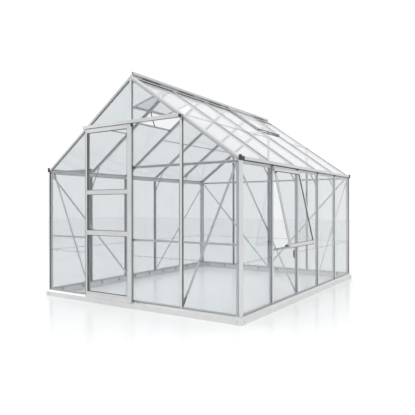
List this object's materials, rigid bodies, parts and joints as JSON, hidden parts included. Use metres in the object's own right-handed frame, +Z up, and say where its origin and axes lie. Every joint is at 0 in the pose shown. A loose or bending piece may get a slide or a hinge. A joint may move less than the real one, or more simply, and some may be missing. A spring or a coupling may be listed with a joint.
{
  "type": "greenhouse",
  "caption": "Aluminium-framed glass greenhouse with a pitched roof on a steel base, a sliding door in the gable, a propped side window and ridge-hung roof vents.",
  "frame": {"origin": "middle of the whole outline on the floor, with the side window standing open; the middle of the building itself lies 83 mm towards -X and 13 mm towards +Y", "axes": "+X towards the side wall with the hinged window, -Y towards the gable with the sliding door, +Z up"},
  "size_m": [2.7024, 3.182, 2.3522],
  "materials": {
    "base_steel": "galvanised, satin",
    "mill_aluminium": "mill finish, satin",
    "bright_aluminium": "anodised, satin",
    "black_plastic": "moulded, matte",
    "pane_glass": "clear, polished"
  },
  "bodies": {
    "frame": {"base_front": "base_steel", "base_back": "base_steel", "base_left": "base_steel", "base_right": "base_steel", "sills": "mill_aluminium", "corner_posts": "bright_aluminium", "side_posts": "mill_aluminium", "gable_posts_front": "mill_aluminium", "gable_posts_back": "mill_aluminium", "gable_rafters_front": "bright_aluminium", "gable_rafters_back": "bright_aluminium", "eave_gutter_left": "bright_aluminium", "eave_gutter_right": "bright_aluminium", "gutter_end_caps": "black_plastic", "ridge_beam": "bright_aluminium", "roof_bars_left": "bright_aluminium", "roof_bars_right": "bright_aluminium", "cross_rails_front": "bright_aluminium", "cross_rails_back": "mill_aluminium", "door_header": "mill_aluminium", "gable_braces": "bright_aluminium", "side_braces": "bright_aluminium", "knee_brackets": "mill_aluminium", "sill_cleats": "black_plastic", "door_track": "bright_aluminium", "track_stops": "black_plastic", "glass_front": "pane_glass", "glass_back": "pane_glass", "glass_left": "pane_glass", "glass_right": "pane_glass", "glass_roof_left": "pane_glass", "glass_roof_right": "pane_glass", "roof_vents": "bright_aluminium", "roof_vent_glass": "pane_glass", "roof_vent_sills": "mill_aluminium", "roof_vent_stay": "black_plastic", "side_window_leaf": "bright_aluminium", "side_window_glass": "pane_glass", "side_window_surround": "mill_aluminium", "side_window_stay": "black_plastic"},
    "door": {"door_stiles": "bright_aluminium", "door_rails": "bright_aluminium", "door_glass": "pane_glass", "door_hangers": "mill_aluminium", "door_wheels": "black_plastic"}
  },
  "joints": [
    {"name": "door_slide", "type": "slide", "parent": "frame", "child": "door", "axis": [1, 0, 0], "range_m": [0, 0.59]}
  ]
}
